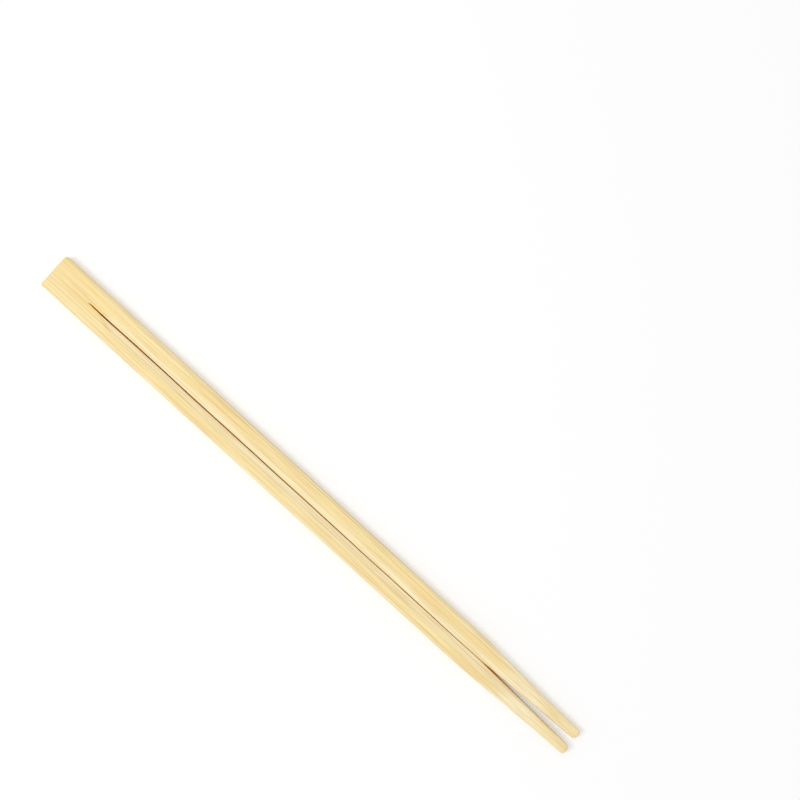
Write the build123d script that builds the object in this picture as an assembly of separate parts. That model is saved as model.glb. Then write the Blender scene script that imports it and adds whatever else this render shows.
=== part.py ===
from build123d import *
import os
from math import sqrt

# A joined pair of bamboo chopsticks, made from one flat blank. The blank is grooved on both faces and
# planed on the upper one, its free end is worked down to two rounded tips, and one saw cut divides it
# from the tips almost to the head. The uncut head holds the sticks together until they are snapped apart.
#
# Millimetres. +X runs from the head to the tips, +Y across the pair and +Z up. The pair lies flat:
# the origin is under the middle of its bounding box, on the plane that it rests on.

# Driving dimensions: the blank
overall_length = 230.0  # head end to the longer tip
blank_width = 12.7  # across both sticks
blank_thickness = 4.8
long_edge_radius = 1.2  # rounding along the four long edges
head_edge_radius = 0.5  # rounding round the head's end face

# The faces, shaped by turning knives from the shoulder to the tips
planing_depth = 0.12  # taken off the upper face; the underside slides on the bed and keeps its level
groove_depth = 1.1  # of the V between the sticks, below the face that it is cut in
groove_half_width = 2.35
knife_radius = 30.0  # the knives' cutting circle, which leaves a curved shoulder
full_depth_start = 29.0  # head end to where the knives reach full depth

# The tips
taper_length = 43.0  # longer tip to where the sticks begin to narrow
land_length = 11.5  # the last stretch, which is nearly parallel
land_width = 10.0  # across both sticks where the land begins
tip_width = 9.7  # across both tips
tip_gap = 2.8  # between the two tips
tip_thickness = 3.1
tip_corner_radius = 1.15  # rounding along a tip's edges
tip_end_radius = 0.9  # rounding round a tip's end
short_tip_setback = 0.5  # how much shorter the stick on the +Y side is

# The saw cut between the sticks
slit_start = 15.6  # head end to where the blade enters the upper face
kerf_at_head = 0.45
kerf_at_pinch = 0.14  # where the sprung sticks lie closest
pinch_from_tip = 40.5  # longer tip to the pinch, from which the gap widens
saw_radius = 50.0  # of the blade, which leaves a curved end to the cut
saw_overrun = 2.0  # how far the blade reaches below the underside
arris_radius = 0.1  # the sticks' sharp inner edges at the start of the taper

# Cutting bodies
clear = 2.0  # how far they stand out past the blank
knife_sweep = 60.0  # degrees of the knives' circle, enough to leave the blank

# Places worked out from them
head_x = -overall_length / 2
tip_x = overall_length / 2
half_width = blank_width / 2
mid_z = blank_thickness / 2
taper_x = tip_x - taper_length
land_x = tip_x - land_length
pinch_x = tip_x - pinch_from_tip


def blank():
    """The flat blank with rounded long edges and a softened head end."""
    section = Plane.YZ * Pos(0, mid_z) * RectangleRounded(blank_width, blank_thickness, long_edge_radius)
    board = Pos(head_x, 0, 0) * extrude(section, overall_length)
    head_face = board.faces().sort_by(Axis.X)[0]
    return fillet(head_face.edges(), head_edge_radius)


def knife_pass(outline, depth_z):
    """What knives of this outline take off above depth_z: a straight pass that rises out on their circle."""
    full_depth_x = head_x + full_depth_start
    section = Pos(full_depth_x, 0, 0) * (Plane.YZ * make_face(outline))
    spindle = Axis((full_depth_x, 0, depth_z + knife_radius), (0, 1, 0))
    straight_pass = extrude(section, tip_x + clear - full_depth_x, dir=(1, 0, 0))
    return straight_pass + revolve(section, spindle, knife_sweep)


def planing():
    """The thin layer planed off the upper face."""
    planed_z = blank_thickness - planing_depth
    top_z = blank_thickness + clear
    reach = half_width + clear
    outline = Polyline((-reach, planed_z), (reach, planed_z), (reach, top_z), (-reach, top_z), close=True)
    return knife_pass(outline, planed_z)


def groove(face_z):
    """The V between the sticks in a face at face_z, its slopes carried on upwards past the blank."""
    deepest_z = face_z - groove_depth
    top_z = blank_thickness + clear
    reach = groove_half_width * (top_z - deepest_z) / groove_depth
    return knife_pass(Polyline((0, deepest_z), (reach, top_z), (-reach, top_z), close=True), deepest_z)


def gap_at(x):
    """Width of the cut between the sticks at x, from the pinch to the tips."""
    along = (x - pinch_x) / pinch_from_tip
    return kerf_at_pinch + along * (tip_gap - kerf_at_pinch)


def stick_section(x, inner_y, outer_y, thickness, inner_radius, outer_radius):
    """Face across one stick at x: a rectangle about mid height with rounded corners."""
    low_z = mid_z - thickness / 2
    high_z = mid_z + thickness / 2
    corners = [(inner_y, low_z), (outer_y, low_z), (outer_y, high_z), (inner_y, high_z)]
    radii = [inner_radius, outer_radius, outer_radius, inner_radius]
    outline = FilletPolyline(*corners, radius=radii, close=True)
    return Pos(x, 0, 0) * (Plane.YZ * make_face(outline))


def tip_form(end_x):
    """What the tapering leaves of the stick on the +Y side, rounded at its end."""
    fall = (land_x - taper_x) / taper_length
    land_thickness = blank_thickness + fall * (tip_thickness - blank_thickness)
    land_inner_radius = arris_radius + fall * (tip_corner_radius - arris_radius)
    sections = [
        stick_section(taper_x, 0, half_width, blank_thickness, arris_radius, long_edge_radius),
        stick_section(
            land_x, gap_at(land_x) / 2, land_width / 2, land_thickness, land_inner_radius, tip_corner_radius
        ),
        stick_section(
            end_x, tip_gap / 2, tip_width / 2, tip_thickness, tip_corner_radius, tip_corner_radius
        ),
    ]
    form = loft(sections, ruled=True)
    end_face = form.faces().sort_by(Axis.X)[-1]
    return fillet(end_face.edges(), tip_end_radius)


def taper_waste():
    """All that is taken off beyond the start of the taper."""
    waste_length = taper_length + clear
    waste_height = blank_thickness + 2 * clear
    end_block = Box(waste_length, blank_width + 2 * clear, waste_height)
    end_block = Pos(taper_x + waste_length / 2, 0, mid_z) * end_block
    long_stick = mirror(tip_form(tip_x), Plane.XZ)
    short_stick = tip_form(tip_x - short_tip_setback)
    return end_block - long_stick - short_stick


def saw_cut():
    """The blade's path seen from the side, as wide as the cut is along its length."""
    spindle_z = saw_radius - saw_overrun
    run_out = sqrt(saw_radius**2 - (spindle_z - blank_thickness) ** 2)
    spindle_x = head_x + slit_start + run_out
    beyond_x = tip_x + clear
    path_length = beyond_x - spindle_x
    disc = Pos(spindle_x, 0, spindle_z) * Rot(90, 0, 0) * Cylinder(saw_radius, blank_width)
    pass_height = saw_overrun + blank_thickness + clear
    pass_z = pass_height / 2 - saw_overrun
    straight_pass = Pos(spindle_x + path_length / 2, 0, pass_z) * Box(path_length, blank_width, pass_height)
    near_side = [
        (head_x + slit_start - clear, -kerf_at_head / 2),
        (pinch_x, -kerf_at_pinch / 2),
        (beyond_x, -gap_at(beyond_x) / 2),
    ]
    far_side = [(x, -y) for x, y in reversed(near_side)]
    plan = make_face(Polyline(*near_side, *far_side, close=True))
    opening = extrude(Pos(0, 0, -clear) * plan, blank_thickness + 2 * clear)
    return opening & (disc + straight_pass)


upper_groove = groove(blank_thickness - planing_depth)
lower_groove = Pos(0, 0, blank_thickness) * Rot(180, 0, 0) * groove(blank_thickness)
shaped = blank() - taper_waste() - planing() - upper_groove - lower_groove
joined_chopsticks = shaped - saw_cut()

os.makedirs("parts", exist_ok=True)
export_step(joined_chopsticks, "parts/joined_chopsticks.step")
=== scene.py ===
from math import ceil, radians, sqrt, tau

import bmesh
import bpy
import numpy as np
from bpy.props import FloatProperty, FloatVectorProperty, IntProperty, PointerProperty
from mathutils import Euler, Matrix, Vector, noise


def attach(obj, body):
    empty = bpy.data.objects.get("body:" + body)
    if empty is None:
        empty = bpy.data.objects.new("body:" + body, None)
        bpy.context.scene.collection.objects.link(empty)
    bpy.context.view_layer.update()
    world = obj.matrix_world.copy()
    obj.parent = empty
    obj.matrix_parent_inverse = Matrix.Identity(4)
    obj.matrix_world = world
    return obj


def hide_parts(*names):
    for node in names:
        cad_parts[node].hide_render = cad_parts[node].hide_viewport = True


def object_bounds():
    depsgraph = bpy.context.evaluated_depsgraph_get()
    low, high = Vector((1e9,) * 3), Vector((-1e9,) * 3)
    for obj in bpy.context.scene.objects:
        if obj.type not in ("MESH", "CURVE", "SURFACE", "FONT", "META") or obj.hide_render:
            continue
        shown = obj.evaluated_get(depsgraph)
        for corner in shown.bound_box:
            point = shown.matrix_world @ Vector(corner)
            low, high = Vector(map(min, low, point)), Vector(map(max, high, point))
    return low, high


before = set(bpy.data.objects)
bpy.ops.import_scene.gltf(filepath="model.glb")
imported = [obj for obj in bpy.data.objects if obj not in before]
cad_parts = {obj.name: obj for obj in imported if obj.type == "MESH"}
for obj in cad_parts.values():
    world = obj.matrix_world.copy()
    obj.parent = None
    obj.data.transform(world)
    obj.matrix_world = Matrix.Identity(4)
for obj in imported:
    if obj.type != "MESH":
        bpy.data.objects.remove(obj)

bl_info = {
    "name": "Joined bamboo chopsticks",
    "version": (1, 0, 0),
    "blender": (4, 5, 0),
    "location": "3D View > Sidebar > Chopsticks",
    "description": "Carves a joined pair of bamboo chopsticks and lays it on white card",
    "category": "Add Mesh",
}

MM = 0.001
UPPER, LOWER = 1, -1
SIDES = (1, -1)
CAD_LOW, CAD_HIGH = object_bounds()
CAD_SIZE = CAD_HIGH - CAD_LOW


def linear(code):
    """The linear red, green and blue of an sRGB hex colour such as #F4E0AE."""
    parts = [int(code[i : i + 2], 16) / 255 for i in (1, 3, 5)]
    return tuple(c / 12.92 if c <= 0.04045 else ((c + 0.055) / 1.055) ** 2.4 for c in parts)


def length(name, description, default):
    return FloatProperty(
        name=name, description=description, default=default, min=0.0, precision=5, unit="LENGTH"
    )


def colour(name, description, code):
    return FloatVectorProperty(
        name=name, description=description, subtype="COLOR", size=3, min=0.0, max=1.0, default=linear(code)
    )


# ------------------------------------------------------------------------------------------- settings


class PairSizes(bpy.types.PropertyGroup):
    """Sizes of the joined pair. +X runs from the head to the tips, +Y across the pair, +Z up."""

    overall_length: length("Overall length", "Head end to the longer tip", CAD_SIZE.x)
    pair_width: length("Width", "Across both sticks", CAD_SIZE.y)
    thickness: length("Thickness", "Of the blank", CAD_SIZE.z)
    long_edge_radius: length("Long edge radius", "Rounding along the outer edges", 1.2 * MM)
    head_edge_radius: length("Head edge radius", "Rounding round the head's end", 0.5 * MM)
    planing_depth: length("Planing depth", "Taken off the upper face", 0.12 * MM)
    groove_depth: length("Groove depth", "Of the V between the sticks", 1.1 * MM)
    groove_half_width: length("Groove half width", "From the slit to the ridge", 2.35 * MM)
    knife_radius: length("Knife radius", "Cutting circle that leaves the curved shoulder", 30 * MM)
    full_depth_start: length("Full depth start", "Head end to where the knives are at full depth", 29 * MM)
    taper_length: length("Taper length", "Longer tip to where the sticks begin to narrow", 43 * MM)
    land_length: length("Land length", "Nearly parallel stretch at the tips", 11.5 * MM)
    land_width: length("Land width", "Across both sticks where the land begins", 10 * MM)
    tip_width: length("Tip width", "Across both tips", 9.7 * MM)
    tip_gap: length("Tip gap", "Between the two tips", 2.8 * MM)
    tip_thickness: length("Tip thickness", "Of each tip", 3.1 * MM)
    tip_corner_radius: length("Tip corner radius", "Rounding along a tip's edges", 1.15 * MM)
    tip_end_radius: length("Tip end radius", "Rounding round a tip's end", 0.9 * MM)
    short_tip_setback: length("Short tip setback", "How much shorter the +Y stick is", 0.5 * MM)
    slit_start: length("Slit start", "Head end to where the saw enters the upper face", 15.6 * MM)
    kerf_at_head: length("Kerf at head", "Width of the saw cut at its start", 0.45 * MM)
    kerf_at_pinch: length("Kerf at pinch", "Width of the cut where the sticks lie closest", 0.14 * MM)
    pinch_from_tip: length("Pinch from tip", "Longer tip to the pinch", 40.5 * MM)
    saw_radius: length("Saw radius", "Of the blade that cuts the slit", 50 * MM)
    saw_overrun: length("Saw overrun", "How far the blade reaches below the underside", 2 * MM)
    arris_radius: length("Arris radius", "Softening of the slit's sawn edges", 0.1 * MM)
    slit_lean: length("Slit lean", "How far the slit's foot stands to the +Y side of its mouth", 0.3 * MM)


class BambooFinish(bpy.types.PropertyGroup):
    """Colour and grain of planed raw bamboo."""

    pale_wood: colour("Pale wood", "Soft tissue between the strands, lightest", "#F9E6AE")
    warm_wood: colour("Warm wood", "Soft tissue between the strands, deepest", "#F2D488")
    # Fresh cut: paler tint for faces that the knives opened, partly the fresher wood and partly a painted
    # sheen
    fresh_cut_and_sheen: colour("Fresh cut", "Faces that the knives have opened", "#FDF2CE")
    strand: colour("Strand", "Fibre strands seen lengthwise", "#DDB56E")
    # Sawn: raw wood inside the slit, painted darker and deeper gold as painted shade for the warm light
    # bounced in the narrow slit
    sawn: colour("Sawn", "Raw wood inside the slit", "#EDB93C")
    pore: colour("Pore", "Opened vessels, as fine dark dashes", "#A67C3E")
    end_grain: colour("End grain", "Soft tissue seen end on", "#E2C388")
    roughness: FloatProperty(
        name="Roughness", description="Of the planed surface", default=0.5, min=0.0, max=1.0, subtype="FACTOR"
    )
    skin_spacing: length("Spacing by the skin", "Between strands on the +Y side", 0.95 * MM)
    pith_spacing: length("Spacing by the pith", "Between strands on the -Y side", 1.7 * MM)
    strand_radius: length("Strand radius", "Of one strand of fibres", 0.24 * MM)
    strand_groove: length("Strand groove", "How deep a planed strand lies", 0.03 * MM)
    fibre_relief: length("Fibre relief", "Height of the fine fibre ridges", 0.02 * MM)
    seed: IntProperty(name="Seed", description="Picks another piece of bamboo", default=7, min=0)


class StudioSettings(bpy.types.PropertyGroup):
    """White card floor, softbox, surrounding light and camera."""

    floor_card: colour("Floor card", "Matt white card under the pair", "#F4F4F5")
    floor_size: length("Floor size", "Edge of the floor", 4.0)
    surround: FloatProperty(
        name="Surround", description="Strength of the even light all round", default=0.72, min=0.0
    )
    softbox_power: FloatProperty(
        name="Softbox power", description="Of the softbox", default=3.3, min=0.0, unit="POWER"
    )
    softbox_size: length("Softbox size", "Edge of the square softbox", 0.35)
    softbox_distance: length("Softbox distance", "From the pair to the softbox", 1.0)
    softbox_height: FloatProperty(
        name="Softbox height", description="Angle above the floor", default=radians(64), subtype="ANGLE"
    )
    camera_lens: FloatProperty(
        name="Lens", description="Focal length in millimetres", default=65.0, min=1.0, unit="CAMERA"
    )
    view_width: length("View width", "Width of floor that the picture takes in", 261.3 * MM)
    camera_turn: FloatProperty(
        name="Camera turn", description="About the vertical", default=radians(42.4), subtype="ANGLE"
    )
    aim_along: FloatProperty(
        name="Aim along", description="From the pair's middle along +X", default=-2.7 * MM, unit="LENGTH"
    )
    aim_across: FloatProperty(
        name="Aim across", description="From the pair's middle along +Y", default=45.1 * MM, unit="LENGTH"
    )


# ---------------------------------------------------------------------------------------- pair's form


def smooth_min(a, b, width):
    """The lower of a and b, with the corner where they cross rounded over width."""
    share = np.clip(0.5 + 0.5 * (b - a) / width, 0, 1)
    return b + (a - b) * share - width * share * (1 - share)


def end_inset(distance, radius):
    """How far a face is drawn in at this distance from an end that is rounded to radius."""
    reach = np.clip(radius - distance, 0, radius)
    return radius - np.sqrt(radius**2 - reach**2)


def smooth_step(x, start, end):
    """0 up to start and 1 from end on, with a smooth rise between."""
    share = np.clip((x - start) / (end - start), 0, 1)
    return share * share * (3 - 2 * share)


def waves(rng, shortest, longest, count=6):
    """A smooth wandering line of height about 1, as a function of the distance along it."""
    wavelengths = shortest * (longest / shortest) ** rng.random(count)
    phases = rng.random(count) * tau

    def height(x):
        return np.sin(np.asarray(x)[..., None] * tau / wavelengths + phases).sum(-1) / sqrt(count)

    return height


class Form:
    """Every face of the pair as a height or a width at a place along it, in metres."""

    ridge_softness = 0.16 * MM
    edge_wander = 0.04 * MM
    edge_wave = (12 * MM, 90 * MM)
    drift_wander = 0.03 * MM
    drift_wave = (18 * MM, 80 * MM)
    drift_ease = 10 * MM
    nick_share = 0.3
    nick_wave = (1.5 * MM, 14 * MM)
    nick_count = 12
    breakthrough_steps = 4000

    def __init__(self, sizes, seed):
        self.s = sizes
        rng = np.random.default_rng(seed)
        self.head_x = CAD_LOW.x
        self.tip_x = CAD_LOW.x + sizes.overall_length
        self.slit_x = self.head_x + sizes.slit_start
        self.full_depth_x = self.head_x + sizes.full_depth_start
        self.taper_x = self.tip_x - sizes.taper_length
        self.land_x = self.tip_x - sizes.land_length
        self.pinch_x = self.tip_x - sizes.pinch_from_tip
        self.middle_y = (CAD_LOW.y + CAD_HIGH.y) / 2
        self.floor_z = CAD_LOW.z
        self.taper_stops = [self.taper_x, self.land_x, self.tip_x]
        fall = (self.land_x - self.taper_x) / sizes.taper_length
        self.land_thickness = sizes.thickness + fall * (sizes.tip_thickness - sizes.thickness)
        self.land_inner_radius = sizes.arris_radius + fall * (sizes.tip_corner_radius - sizes.arris_radius)
        spindle_z = sizes.saw_radius - sizes.saw_overrun
        run_out = sqrt(sizes.saw_radius**2 - (spindle_z - sizes.thickness) ** 2)
        self.saw_spindle = (self.slit_x + run_out, spindle_z)
        self.outer_edge = {side: waves(rng, *self.edge_wave) for side in SIDES}
        self.slit_wander = waves(rng, *self.drift_wave)
        self.nicks = {side: waves(rng, *self.nick_wave, self.nick_count) for side in SIDES}
        self.floor_end_x = self.underside_slit_start()

    def taper(self, x, body, land, tip):
        """A size that is even along the body and changes to the land and on to the tip."""
        return np.interp(x, self.taper_stops, [body, land, tip])

    def end_draw(self, x):
        """How far both rounded ends draw the faces in at x."""
        head = end_inset(x - self.head_x, self.s.head_edge_radius)
        return head + end_inset(self.tip_x - x, self.s.tip_end_radius)

    def outer(self, x, side):
        """Distance of a stick's outer side from the middle."""
        half = self.taper(x, self.s.pair_width / 2, self.s.land_width / 2, self.s.tip_width / 2)
        wander = self.edge_wander * (1 + np.clip(self.outer_edge[side](x), -1, 1)) / 2
        return half - wander - self.end_draw(x)

    def inner(self, x, side, face):
        """Distance of a stick's sawn inner side from the middle, at its upper face or its underside."""
        s = self.s
        stops = [self.slit_x, self.pinch_x, self.tip_x]
        half = np.interp(x, stops, [s.kerf_at_head / 2, s.kerf_at_pinch / 2, s.tip_gap / 2])
        return half + side * self.drift(x, face) + end_inset(self.tip_x - x, s.tip_end_radius)

    def drift(self, x, face):
        """How far the slit and groove lie off the middle, towards +Y."""
        parting = 1 - smooth_step(x, self.pinch_x, self.tip_x)
        held = smooth_step(x, self.slit_x, self.slit_x + self.drift_ease) * parting
        return held * (self.drift_wander * self.slit_wander(x) - face * self.s.slit_lean / 2)

    def outer_radius(self, x):
        """Rounding of the outer edges."""
        tip = self.s.tip_corner_radius
        return self.taper(x, self.s.long_edge_radius, tip, tip) - self.end_draw(x)

    def inner_radius(self, x, side):
        """Rounding of the slit's edges: a nicked arris on the body that grows to a round at the tips."""
        full = self.taper(x, self.s.arris_radius, self.land_inner_radius, self.s.tip_corner_radius)
        nicks = self.nick_share * np.clip(self.nicks[side](x), -1, 1) * (x < self.land_x)
        nicked = full * (1 + nicks)
        return nicked - end_inset(self.tip_x - x, self.s.tip_end_radius)

    def formed_thickness(self, x):
        """Thickness before the knives cut the planed face and the grooves."""
        return self.taper(x, self.s.thickness, self.land_thickness, self.s.tip_thickness)

    def knife_rise(self, x, height):
        """How far the edge of a knife, height above its lowest point, stands over full depth at x."""
        back = np.maximum(self.full_depth_x - x, 0)
        reach = (self.s.knife_radius - height) ** 2 - back**2
        return self.s.knife_radius - np.sqrt(np.maximum(reach, 0))

    def groove(self, x, y, face):
        """Depth of the groove below the face that it is cut in, negative where there is none."""
        slope = self.s.groove_depth / self.s.groove_half_width
        return self.s.groove_depth - self.knife_rise(x, np.abs(y - self.drift(x, face)) * slope)

    def top(self, x, y):
        """Height of the upper face."""
        s = self.s
        formed = s.thickness / 2 + self.formed_thickness(x) / 2
        planed = s.thickness - s.planing_depth + self.knife_rise(x, 0)
        flat = np.minimum(planed, formed)
        grooved = s.thickness - s.planing_depth - self.groove(x, y, UPPER)
        face = np.minimum(smooth_min(flat, grooved, self.ridge_softness), s.thickness)
        return self.floor_z + face - self.end_draw(x)

    def low(self, x, y):
        """Height of the underside."""
        formed = self.s.thickness / 2 - self.formed_thickness(x) / 2
        grooved = -smooth_min(-formed, -self.groove(x, y, LOWER), self.ridge_softness)
        return self.floor_z + np.maximum(grooved, 0) + self.end_draw(x)

    def saw_floor(self, x):
        """Height of the curved end that the saw leaves in the slit."""
        spindle_x, spindle_z = self.saw_spindle
        reach = self.s.saw_radius**2 - (spindle_x - x) ** 2
        return self.floor_z + spindle_z - np.sqrt(np.maximum(reach, 0))

    def underside_slit_start(self):
        """Where the saw breaks through the underside."""
        x = np.linspace(self.slit_x, self.full_depth_x, self.breakthrough_steps)
        through = self.saw_floor(x) <= self.low(x, np.full_like(x, self.s.kerf_at_head / 2))
        return float(x[np.argmax(through)])


# ------------------------------------------------------------------------------------------ pair mesh

# Divisions of the rounded ends and of one stick's section. A cap joins four rows of points that meet
# at the middle of each rounded corner, so the slit's wall has as many divisions as the outer side.
END_ARC = 6
INNER_ARC = 6
SLOPE = 14
FLAT = 17
OUTER_ARC = 12
SIDE = 15
WALL = SIDE + OUTER_ARC - INNER_ARC
INNER_CORNER = INNER_ARC // 2
OUTER_CORNER = INNER_ARC + SLOPE + FLAT + OUTER_ARC // 2
MIDDLE = 2


def stations(form, spacing):
    """Places along the pair where its section is worked out, closer together at the rounded ends."""
    quarter = np.radians(np.linspace(90, 0, END_ARC + 1))
    head = form.head_x + form.s.head_edge_radius * (1 - np.sin(quarter))
    tip = form.tip_x - form.s.tip_end_radius * (1 - np.sin(quarter))
    fixed = [head[-1], form.slit_x, form.floor_end_x, form.full_depth_x, tip[-1]]
    runs = [np.linspace(a, b, ceil((b - a) / spacing) + 1)[1:-1] for a, b in zip(fixed, fixed[1:])]
    return np.unique(np.concatenate([head, *runs, fixed[1:-1], tip]))


class Patches:
    """Grids of points that will be one closed mesh, each with its own place on the bake's map."""

    margin = 0.3 * MM
    border = 0.002
    weld = 0.0002 * MM
    sliver = 0.0001 * MM

    def __init__(self):
        self.grids, self.maps = [], []
        self.used = self.margin

    def strip(self, points):
        """Adds a grid whose rows run along the pair: its map takes the whole width."""
        across = np.linalg.norm(np.diff(points, axis=1), axis=2).mean(0)
        v = self.used + np.concatenate([[0], np.cumsum(across)])
        u = (points[:, :, 0] - CAD_LOW.x) / CAD_SIZE.x
        self.grids.append(points)
        self.maps.append(np.stack([u, np.broadcast_to(v, u.shape)], 2))
        self.used = v[-1] + self.margin

    def caps(self, all_points):
        """Adds flat end grids side by side in a last row of the map, at one scale both ways."""
        left, height = self.margin, max(np.ptp(p[:, :, 2]) for p in all_points)
        full = self.used + height + self.margin
        for points in all_points:
            u = (left + points[:, :, 1] - points[:, :, 1].min()) / full
            v = self.used + points[:, :, 2] - points[:, :, 2].min()
            self.grids.append(points)
            self.maps.append(np.stack([u, v], 2))
            left += np.ptp(points[:, :, 1]) + self.margin
        self.used = full

    def mesh(self, name):
        """One welded mesh with its map and with its faces turned outwards."""
        points, faces, maps, start = [], [], [], 0
        for grid, uv in zip(self.grids, self.maps):
            rows, columns = grid.shape[:2]
            index = start + np.arange(rows * columns).reshape(rows, columns)
            quads = np.stack([index[:-1, :-1], index[1:, :-1], index[1:, 1:], index[:-1, 1:]], 2)
            faces.append(quads.reshape(-1, 4))
            points.append(grid.reshape(-1, 3))
            maps.append(uv.reshape(-1, 2) / (1, self.used))
            start += rows * columns
        faces, maps = np.concatenate(faces), np.concatenate(maps)
        mesh = bpy.data.meshes.new(name)
        mesh.from_pydata(np.concatenate(points).tolist(), [], faces.tolist())
        layer = mesh.uv_layers.new(name="OFBake")
        placed = self.border + (1 - 2 * self.border) * maps[faces.ravel()]
        layer.uv.foreach_set("vector", placed.astype(np.float32).ravel())
        work = bmesh.new()
        work.from_mesh(mesh)
        bmesh.ops.remove_doubles(work, verts=work.verts, dist=self.weld)
        bmesh.ops.dissolve_degenerate(work, edges=work.edges, dist=self.sliver)
        bmesh.ops.recalc_face_normals(work, faces=work.faces)
        work.to_mesh(mesh)
        work.free()
        return mesh


def half_section(form, x, side, face):
    """Distances from the middle of the points across one face, and how far each drops at a corner."""
    inner, outer = form.inner(x, side, face)[:, None], form.outer(x, side)[:, None]
    inner_radius, outer_radius = form.inner_radius(x, side)[:, None], form.outer_radius(x)[:, None]
    inner_turn = np.radians(np.linspace(90, 0, INNER_ARC + 1))
    outer_turn = np.radians(np.linspace(0, 90, OUTER_ARC + 1))[1:]
    flat_start, flat_end = inner + inner_radius, outer - outer_radius
    body_start = form.s.arris_radius + form.s.kerf_at_pinch / 2
    body_end = form.s.pair_width / 2 - form.s.long_edge_radius
    ridge_share = (form.s.groove_half_width - body_start) / (body_end - body_start)
    ridge = flat_start + ridge_share * (flat_end - flat_start)
    slope = flat_start + (ridge - flat_start) * np.linspace(0, 1, SLOPE + 1)[1:]
    flat = ridge + (flat_end - ridge) * np.linspace(0, 1, FLAT + 1)[1:]
    inner_arc = inner + inner_radius * (1 - np.sin(inner_turn))
    outer_arc = outer - outer_radius * (1 - np.sin(outer_turn))
    y = np.concatenate([inner_arc, slope, flat, outer_arc], 1)
    level = np.zeros((len(x), SLOPE + FLAT))
    inner_drop = np.broadcast_to(inner_radius * (1 - np.cos(inner_turn)), inner_arc.shape)
    outer_drop = outer_radius * (1 - np.cos(outer_turn))
    return y, inner_drop, np.concatenate([level, outer_drop], 1)


def between(a, b, count):
    """Points from a to b, ends included, as new columns."""
    share = np.linspace(0, 1, count + 1)[None, :, None]
    return a[:, None] + (b - a)[:, None] * share


def stick_faces(form, x, place_x, side):
    """One stick's upper face and underside, out from the slit, and the foot of its sawn wall."""
    arris_ease = 2.5 * MM
    faces = ((UPPER, form.top, form.slit_x), (LOWER, form.low, form.floor_end_x))
    rows = []
    for face, surface, opening_x in faces:
        y, inner_drop, outer_drop = half_section(form, x, side, face)
        opened = smooth_step(x, opening_x, opening_x + arris_ease)[:, None]
        drop = np.concatenate([inner_drop * opened, outer_drop], 1)
        z = surface(x[:, None], side * y) - face * drop
        along = np.broadcast_to(place_x[:, None], y.shape)
        rows.append(np.stack([along, form.middle_y + side * y, z], 2))
    top, low = rows
    start, end = top[:, 0], low[:, 0]
    reach = np.where(x < form.floor_end_x, start[:, 2] - form.saw_floor(x), start[:, 2] - end[:, 2])
    foot = start + (end - start) * (reach / (start[:, 2] - end[:, 2]))[:, None]
    return top, low, foot


def cap(top_row, outer_row, low_row, inner_row):
    """A grid that fills four rows of points which meet at their ends."""
    u = np.linspace(0, 1, len(top_row))[None, :, None]
    v = np.linspace(0, 1, len(outer_row))[:, None, None]
    across = inner_row[:, None] * (1 - u) + outer_row[:, None] * u
    down = top_row[None] * (1 - v) + low_row[None] * v
    upper_corners = (top_row[0] * (1 - u) + top_row[-1] * u) * (1 - v)
    lower_corners = (low_row[0] * (1 - u) + low_row[-1] * u) * v
    return across + down - upper_corners - lower_corners


def stick_cap(top, low, inner_row):
    """The flat end of one stick, from the last points of its upper face and underside."""
    corners = slice(INNER_CORNER, OUTER_CORNER + 1)
    outer_side = between(top[-1:], low[-1:], SIDE)[0, 1:-1]
    outer_row = np.concatenate([top[OUTER_CORNER:], outer_side, low[OUTER_CORNER:][::-1]])
    return cap(top[corners], outer_row, low[corners], inner_row)


def pair_mesh(form, spacing):
    """The whole pair as one closed mesh."""
    x = stations(form, spacing)
    sawn, whole, shut = x >= form.slit_x, x <= form.slit_x, x <= form.floor_end_x
    patches, caps = Patches(), []
    tops, lows, feet, heads = {}, {}, {}, {}
    for side in SIDES:
        end_x = form.tip_x - (form.s.short_tip_setback if side > 0 else 0)
        stretch = (end_x - form.land_x) / (form.tip_x - form.land_x)
        place_x = np.where(x > form.land_x, form.land_x + (x - form.land_x) * stretch, x)
        top, low, foot = stick_faces(form, x, place_x, side)
        outer_side = between(top[:, -1], low[:, -1], SIDE)[:, 1:-1]
        patches.strip(np.concatenate([top, outer_side, low[:, ::-1]], 1))
        wall = between(top[sawn, 0], foot[sawn], WALL)
        patches.strip(wall)
        wall_end = np.concatenate([top[-1, INNER_CORNER:0:-1], wall[-1], low[-1, 1 : INNER_CORNER + 1]])
        head_middle = between(top[:1, INNER_CORNER], low[:1, INNER_CORNER], WALL + INNER_ARC)[0]
        caps += [stick_cap(top[0], low[0], head_middle), stick_cap(top[-1], low[-1], wall_end)]
        tops[side], lows[side], feet[side], heads[side] = top, low, foot, head_middle
    patches.strip(between(tops[-1][whole, 0], tops[1][whole, 0], MIDDLE))
    patches.strip(between(lows[-1][shut, 0], lows[1][shut, 0], MIDDLE))
    patches.strip(between(feet[-1][sawn & shut], feet[1][sawn & shut], MIDDLE))
    middle_rows = []
    for faces in (tops, lows):
        left, right = faces[-1][0, : INNER_CORNER + 1], faces[1][0, : INNER_CORNER + 1]
        middle = between(left[:1], right[:1], MIDDLE)[0, 1:-1]
        middle_rows.append(np.concatenate([left[::-1], middle, right]))
    caps.append(cap(middle_rows[0], heads[1], middle_rows[1], heads[-1]))
    patches.caps(caps)
    return patches.mesh("bamboo_pair")


# ---------------------------------------------------------------------------------------- bamboo grain


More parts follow.
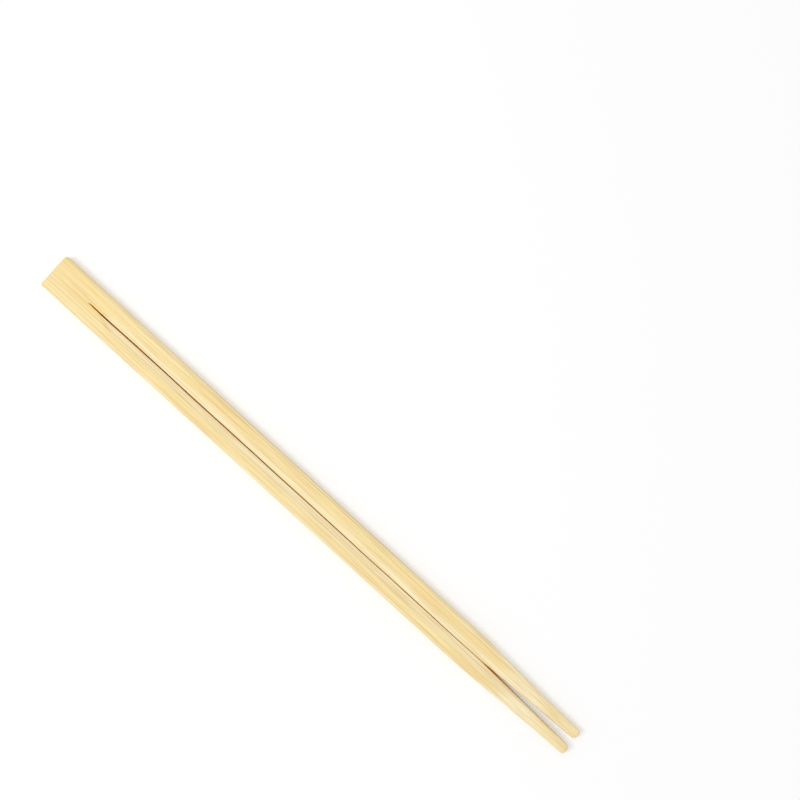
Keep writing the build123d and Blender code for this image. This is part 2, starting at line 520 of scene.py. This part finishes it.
def strands(rng, finish):
    """Fibre strands of the culm wall, close together by the skin and wider apart by the pith."""
    row_pitch, top_scatter, wobble_share = 0.82, 0.5, 0.25
    fall_low, fall_high, below_floor = 0.9, 1.25, 0.2
    radius_low, radius_high, pith_swell, skin_shrink = 0.7, 1.2, 1.25, 0.4
    pith_boldness = 0.55
    half_width, thickness = CAD_SIZE.y / 2, CAD_SIZE.z
    y, found = half_width, []
    while y > -half_width:
        share = (y + half_width) / CAD_SIZE.y
        spacing = finish.pith_spacing + share * (finish.skin_spacing - finish.pith_spacing)
        boldness = pith_boldness + (1 - pith_boldness) * share
        z = thickness - rng.random() * top_scatter * spacing
        while z > -below_floor * spacing:
            wobble = wobble_share * spacing * rng.uniform(-1, 1, 2)
            radius = finish.strand_radius * rng.uniform(radius_low, radius_high)
            radius *= pith_swell - skin_shrink * share
            found.append((y + wobble[0], z + wobble[1], radius, boldness))
            z -= spacing * rng.uniform(fall_low, fall_high)
        y -= spacing * row_pitch
    return found


def strand_strength(points, finish):
    """How much of a fibre strand lies at each point, from 0 to 1."""
    lean_wave, lean_reach = (150 * MM, 400 * MM, 3), 0.25 * MM
    stray_wave, stray_y, stray_z = (60 * MM, 260 * MM, 3), 0.10 * MM, 0.12 * MM
    faint_wave, faint_middle, faint_swing, faintest = (12 * MM, 70 * MM, 4), 0.75, 0.3, 0.25
    edge_sharpness = 1.5
    rng = np.random.default_rng(finish.seed + 1)
    x, strength = points[:, 0], np.zeros(len(points))
    lean = waves(rng, *lean_wave)(x) * lean_reach
    for y, z, radius, boldness in strands(rng, finish):
        sideways, upwards, faint = (waves(rng, *wave)(x) for wave in (stray_wave, stray_wave, faint_wave))
        off_y = points[:, 1] - y - lean - stray_y * sideways
        off_z = points[:, 2] - z - stray_z * upwards
        near = np.exp(-((off_y**2 + off_z**2) / radius**2) ** edge_sharpness)
        shown = np.clip(faint_middle + faint_swing * faint, faintest, 1)
        strength = np.maximum(strength, near * boldness * shown)
    return strength


def fibre_lines(points):
    """Height of the fine fibre ridges at each point, from 0 to 1, drawn out along the fibres."""
    along, across, offset = 9 * MM, 0.32 * MM, 11.0
    stretched = points / (along, across, across) + offset
    return 0.5 + 0.5 * np.array([noise.noise(Vector(p)) for p in stretched])


def cut_depth_and_sheen(points, form):
    """How freshly the knives have opened the wood at each point, from 0 to 1, which is also a painted
    sheen: deeper cuts are tinted paler, partly for the fresher wood and partly for the softbox's
    reflection on the facets. The tips are tumbled smooth afterwards and lose half of it."""
    shallow, deep = 0.12 * MM, 0.36 * MM
    tumbling_start, tumbling_end, tumbling_loss = -8 * MM, 2 * MM, 0.5
    x, y, z = points.T
    middle = form.floor_z + form.s.thickness / 2
    below = form.s.thickness / 2 - np.abs(z - middle)
    inside = form.s.pair_width / 2 - np.abs(y - form.middle_y)
    tumbled = smooth_step(x, form.land_x + tumbling_start, form.land_x + tumbling_end)
    return smooth_step(np.minimum(below, inside), shallow, deep) * (1 - tumbling_loss * tumbled)


def slit_shade(points, form):
    """How deep inside the closed part of the slit each point lies, from 0 to 1: where the slit's painted
    shade goes.
    """
    mouth_start, mouth_end = -0.03 * MM, 0.15 * MM
    closed, parted = 0.3 * MM, 0.8 * MM
    x, y, z = points.T
    mouth, foot = form.drift(x, UPPER), form.drift(x, LOWER)
    slit_y = form.middle_y + mouth + (foot - mouth) * (1 - z / form.s.thickness)
    depth = np.minimum(form.top(x, y) - z, z - form.low(x, y))
    inside = smooth_step(depth, mouth_start, mouth_end) * (x > form.slit_x)
    return inside * (1 - smooth_step(np.abs(y - slit_y), closed, parted))


def grow_grain(mesh, form, finish):
    """Sinks strands and fibre lines into the surface and stores them for the material, with the masks
    for the cut faces' painted sheen and the slit's painted shade.
    """
    count = len(mesh.vertices)
    points, normals = np.empty(count * 3), np.empty(count * 3)
    mesh.vertices.foreach_get("co", points)
    mesh.vertex_normals.foreach_get("vector", normals)
    points, normals = points.reshape(-1, 3), normals.reshape(-1, 3)
    strength = strand_strength(points, finish)
    depth = finish.strand_groove * strength + finish.fibre_relief * fibre_lines(points)
    shades = {
        "strand": strength,
        "fresh_cut_and_sheen": cut_depth_and_sheen(points, form),
        "slit": slit_shade(points, form),
    }
    for name, values in shades.items():
        layer = mesh.attributes.new(name, "FLOAT", "POINT")
        layer.data.foreach_set("value", values.astype(np.float32))
    mesh.vertices.foreach_set("co", (points - normals * depth[:, None]).ravel())
    mesh.update()


# ------------------------------------------------------------------------------------------ materials


def add(tree, kind, inputs=None, **settings):
    """Adds a node with its settings. An input is a number, a colour or the socket that feeds it."""
    made = tree.nodes.new(kind)
    for name, value in settings.items():
        setattr(made, name, value)
    for name, value in (inputs or {}).items():
        if isinstance(value, bpy.types.NodeSocket):
            tree.links.new(value, made.inputs[name])
        else:
            made.inputs[name].default_value = value
    return made


# Sockets of a Mix node that is set to colour
MIX_FACTOR, MIX_A, MIX_B, MIX_RESULT = 0, 6, 7, 2


def stretched_grain(tree, along, across, detail, variant):
    """Noise drawn out along the fibres, in patches of along by across metres."""
    place = add(tree, "ShaderNodeTexCoord").outputs["Object"]
    scale = (1 / along, 1 / across, 1 / across)
    stretched = add(tree, "ShaderNodeVectorMath", {0: place, 1: scale}, operation="MULTIPLY")
    sockets = {"Vector": stretched.outputs[0], "Scale": 1.0, "Detail": detail, "W": variant}
    return add(tree, "ShaderNodeTexNoise", sockets, noise_dimensions="4D").outputs["Fac"]


def stain(tree, wood, tint, amount, start, end, most, least=0.0):
    """Lays a tint over the wood: least of it where amount is at start, and most where it is at end."""
    limits = {"Value": amount, "From Min": start, "From Max": end, "To Min": least, "To Max": most}
    share = add(tree, "ShaderNodeMapRange", limits).outputs["Result"]
    over = add(tree, "ShaderNodeMix", {MIX_FACTOR: share, MIX_A: wood, MIX_B: tint}, data_type="RGBA")
    return over.outputs[MIX_RESULT]


def raw_bamboo(finish):
    """Raw bamboo, sawn and planed, with no varnish: pale straw tissue with darker fibre strands. The
    planed faces have a soft satin sheen, and faces that the knives cut deeper are painted paler, partly
    for the fresher wood and partly as a painted sheen of the softbox."""
    material = bpy.data.materials.new("raw_bamboo_planed")
    material.use_nodes = True
    tree = material.node_tree
    shader = tree.nodes["Principled BSDF"]
    shader.inputs["IOR"].default_value = 1.5
    names = ("pale_wood", "warm_wood", "fresh_cut_and_sheen", "strand", "sawn", "pore", "end_grain")
    tints = {name: (*getattr(finish, name), 1.0) for name in names}
    grown = {
        name: add(tree, "ShaderNodeAttribute", attribute_name=name).outputs["Fac"]
        for name in ("strand", "fresh_cut_and_sheen", "slit")
    }
    place = add(tree, "ShaderNodeTexCoord")
    across = add(tree, "ShaderNodeSeparateXYZ", {0: place.outputs["Object"]}).outputs["Y"]
    lengthwise = add(tree, "ShaderNodeSeparateXYZ", {0: place.outputs["Normal"]}).outputs["X"]
    end_on = add(tree, "ShaderNodeMath", {0: lengthwise}, operation="ABSOLUTE").outputs[0]

    # The tone drifts in bands a few millimetres wide, and fibres of one tone lie together in streaks
    # about half a millimetre wide.
    bands = stretched_grain(tree, 70 * MM, 3.2 * MM, 2.0, 1.0)
    streaks = stretched_grain(tree, 32 * MM, 0.48 * MM, 2.0, 13.0)
    # Single fibres are about 0.02 mm wide. They are drawn ten times as coarse, so that they show.
    fibres = stretched_grain(tree, 16 * MM, 0.22 * MM, 3.0, 5.0)
    # A planed vessel shows as a dash some millimetres long and as wide as a vessel, 0.16 mm.
    vessels = stretched_grain(tree, 5 * MM, 0.16 * MM, 2.0, 17.0)
    end_patches = stretched_grain(tree, 0.35 * MM, 0.35 * MM, 2.0, 9.0)

    wood = stain(tree, tints["pale_wood"], tints["warm_wood"], bands, 0.35, 0.65, 1.0)
    wood = stain(tree, wood, tints["pale_wood"], across, CAD_HIGH.y / 2, CAD_LOW.y, 0.6)
    # Painted sheen: faces cut deeper are tinted paler, partly the fresher wood and partly a painted
    # reflection of the softbox
    wood = stain(tree, wood, tints["fresh_cut_and_sheen"], grown["fresh_cut_and_sheen"], 0.0, 1.0, 0.8)
    wood = stain(tree, wood, tints["strand"], streaks, 0.5, 0.64, 0.4)
    wood = stain(tree, wood, tints["pale_wood"], streaks, 0.5, 0.36, 0.5)
    wood = stain(tree, wood, tints["strand"], fibres, 0.48, 0.64, 0.45)
    wood = stain(tree, wood, tints["strand"], grown["strand"], 0.0, 1.0, 0.6)
    # Painted shade: the closed slit is tinted dark saturated gold for the warm, bounced shade inside it
    wood = stain(tree, wood, tints["sawn"], grown["slit"], 0.0, 1.0, 1.0)
    crowding = {"Value": grown["strand"], "From Min": 0.2, "From Max": 0.7, "To Min": 0.05, "To Max": 0.55}
    darkest = add(tree, "ShaderNodeMapRange", crowding).outputs["Result"]
    wood = stain(tree, wood, tints["pore"], vessels, 0.62, 0.72, darkest)
    end_wood = stain(tree, tints["end_grain"], tints["warm_wood"], end_patches, 0.4, 0.65, 0.5)
    end_wood = stain(tree, end_wood, tints["pore"], grown["strand"], 0.25, 0.8, 0.75)
    wood = stain(tree, wood, end_wood, end_on, 0.6, 0.9, 1.0)
    tree.links.new(wood, shader.inputs["Base Color"])

    smoothest, roughest = finish.roughness - 0.05, finish.roughness + 0.08
    gloss = {"Value": fibres, "From Min": 0.3, "From Max": 0.7, "To Min": smoothest, "To Max": roughest}
    tree.links.new(add(tree, "ShaderNodeMapRange", gloss).outputs["Result"], shader.inputs["Roughness"])
    bump = add(tree, "ShaderNodeBump", {"Height": fibres, "Distance": 0.012 * MM, "Strength": 1.0})
    tree.links.new(bump.outputs["Normal"], shader.inputs["Normal"])
    return material


def shows_plain(tree):
    """1 for the rays that see the backdrop itself: from the camera, off gloss or through glass."""
    path = add(tree, "ShaderNodeLightPath")
    seen = path.outputs["Is Camera Ray"]
    for name in ("Is Glossy Ray", "Is Transmission Ray"):
        seen = add(tree, "ShaderNodeMath", {0: seen, 1: path.outputs[name]}, operation="MAXIMUM").outputs[0]
    return seen


def white_card(studio):
    """Matt white card. It keeps the pair's soft shadow, and a glow that only the picture sees lifts the
    rest of it to plain white, wholly so where the softbox no longer reaches."""
    glow_near, glow_far, glow_strength = 0.3, 1.0, 1.25
    near, far = CAD_SIZE.x, 3 * CAD_SIZE.x
    material = bpy.data.materials.new("white_card_matt")
    material.use_nodes = True
    tree = material.node_tree
    shader = tree.nodes["Principled BSDF"]
    shader.inputs["Base Color"].default_value = (*studio.floor_card, 1.0)
    shader.inputs["Roughness"].default_value = 0.9
    shader.inputs["Specular IOR Level"].default_value = 0.0
    glow = add(tree, "ShaderNodeEmission", {"Strength": glow_strength})
    place = add(tree, "ShaderNodeTexCoord").outputs["Object"]
    away = add(tree, "ShaderNodeVectorMath", {0: place}, operation="LENGTH").outputs["Value"]
    spread = {"Value": away, "From Min": near, "From Max": far, "To Min": glow_near, "To Max": glow_far}
    grown = add(tree, "ShaderNodeMapRange", spread).outputs["Result"]
    share = add(tree, "ShaderNodeMath", {0: shows_plain(tree), 1: grown}, operation="MULTIPLY")
    lit = add(tree, "ShaderNodeMixShader", {0: share.outputs[0], 1: shader.outputs[0], 2: glow.outputs[0]})
    tree.links.new(lit.outputs[0], tree.nodes["Material Output"].inputs["Surface"])
    return material


# ------------------------------------------------------------------------------------------ operators


class CHOPSTICKS_OT_carve_pair(bpy.types.Operator):
    """Carve the joined pair of sticks out of one strip of bamboo"""

    bl_idname = "chopsticks.carve_pair"
    bl_label = "Carve pair"

    station_spacing = 0.8 * MM
    crease_angle = radians(55)

    def execute(self, context):
        sizes, finish = context.scene.pair_sizes, context.scene.bamboo_finish
        form = Form(sizes, finish.seed)
        mesh = pair_mesh(form, self.station_spacing)
        mesh.shade_smooth()
        grow_grain(mesh, form, finish)
        mesh.set_sharp_from_angle(angle=self.crease_angle)
        mesh.materials.append(raw_bamboo(finish))
        pair = bpy.data.objects.new("bamboo_pair", mesh)
        context.scene.collection.objects.link(pair)
        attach(pair, "root")
        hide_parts("joined_chopsticks")
        return {"FINISHED"}


class CHOPSTICKS_OT_set_studio(bpy.types.Operator):
    """Lay the white floor and set the light, the surroundings and the camera"""

    bl_idname = "chopsticks.set_studio"
    bl_label = "Set studio"

    clip_span = 100

    def execute(self, context):
        studio = context.scene.studio_settings
        middle = (CAD_LOW + CAD_HIGH) / 2
        self.lay_floor(context, studio)
        self.hang_softbox(context, studio, middle)
        self.light_surround(context, studio)
        self.place_camera(context, studio, middle)
        context.scene.view_settings.view_transform = "Standard"
        return {"FINISHED"}

    def lay_floor(self, context, studio):
        half = studio.floor_size / 2
        corners = [(-half, -half), (half, -half), (half, half), (-half, half)]
        mesh = bpy.data.meshes.new("floor_card")
        mesh.from_pydata([(x, y, CAD_LOW.z) for x, y in corners], [], [(0, 1, 2, 3)])
        mesh.materials.append(white_card(studio))
        floor = bpy.data.objects.new("floor_card", mesh)
        context.scene.collection.objects.link(floor)

    def hang_softbox(self, context, studio, middle):
        """The softbox hangs to the left of the picture, which is turned with the camera."""
        lamp = bpy.data.lights.new("softbox", "AREA")
        lamp.energy, lamp.size = studio.softbox_power, studio.softbox_size
        softbox = bpy.data.objects.new("softbox", lamp)
        leftwards = Vector((-1, 0, 0))
        leftwards.rotate(Euler((0, studio.softbox_height, studio.camera_turn)))
        softbox.location = middle + leftwards * studio.softbox_distance
        softbox.rotation_euler = leftwards.to_track_quat("Z", "Y").to_euler()
        context.scene.collection.objects.link(softbox)

    def light_surround(self, context, studio):
        world = bpy.data.worlds.new("white_surround")
        world.use_nodes = True
        context.scene.world = world
        tree = world.node_tree
        lights = tree.nodes["Background"]
        lights.inputs["Color"].default_value = (1, 1, 1, 1)
        lights.inputs["Strength"].default_value = studio.surround
        plain = add(tree, "ShaderNodeBackground", {"Color": (1, 1, 1, 1), "Strength": 1.0})
        sockets = {0: shows_plain(tree), 1: lights.outputs[0], 2: plain.outputs[0]}
        both = add(tree, "ShaderNodeMixShader", sockets)
        tree.links.new(both.outputs[0], tree.nodes["World Output"].inputs["Surface"])

    def place_camera(self, context, studio, middle):
        """The camera looks straight down, turned so that the pair lies across the picture."""
        data = bpy.data.cameras.new("camera")
        data.lens = studio.camera_lens
        height = studio.view_width * data.lens / data.sensor_width
        data.clip_start, data.clip_end = height / self.clip_span, height * self.clip_span
        camera = bpy.data.objects.new("camera", data)
        camera.location = (middle.x + studio.aim_along, middle.y + studio.aim_across, CAD_HIGH.z + height)
        camera.rotation_euler = (0, 0, studio.camera_turn)
        context.scene.collection.objects.link(camera)
        context.scene.camera = camera


class CHOPSTICKS_PT_sidebar(bpy.types.Panel):
    """The pair, its finish and the studio"""

    bl_idname = "CHOPSTICKS_PT_sidebar"
    bl_label = "Joined chopsticks"
    bl_space_type = "VIEW_3D"
    bl_region_type = "UI"
    bl_category = "Chopsticks"

    def draw(self, context):
        groups = (
            (CHOPSTICKS_OT_carve_pair, ("pair_sizes", "bamboo_finish")),
            (CHOPSTICKS_OT_set_studio, ("studio_settings",)),
        )
        for operator, names in groups:
            box = self.layout.box()
            box.operator(operator.bl_idname)
            for name in names:
                settings = getattr(context.scene, name)
                for prop in settings.bl_rna.properties:
                    if prop.identifier not in {"rna_type", "name"}:
                        box.prop(settings, prop.identifier)


CLASSES = (
    PairSizes,
    BambooFinish,
    StudioSettings,
    CHOPSTICKS_OT_carve_pair,
    CHOPSTICKS_OT_set_studio,
    CHOPSTICKS_PT_sidebar,
)


def register():
    for cls in CLASSES:
        bpy.utils.register_class(cls)
    bpy.types.Scene.pair_sizes = PointerProperty(type=PairSizes)
    bpy.types.Scene.bamboo_finish = PointerProperty(type=BambooFinish)
    bpy.types.Scene.studio_settings = PointerProperty(type=StudioSettings)


def unregister():
    del bpy.types.Scene.studio_settings
    del bpy.types.Scene.bamboo_finish
    del bpy.types.Scene.pair_sizes
    for cls in reversed(CLASSES):
        bpy.utils.unregister_class(cls)


def main():
    register()
    bpy.ops.chopsticks.set_studio()
    bpy.ops.chopsticks.carve_pair()


if __name__ == "__main__":
    main()
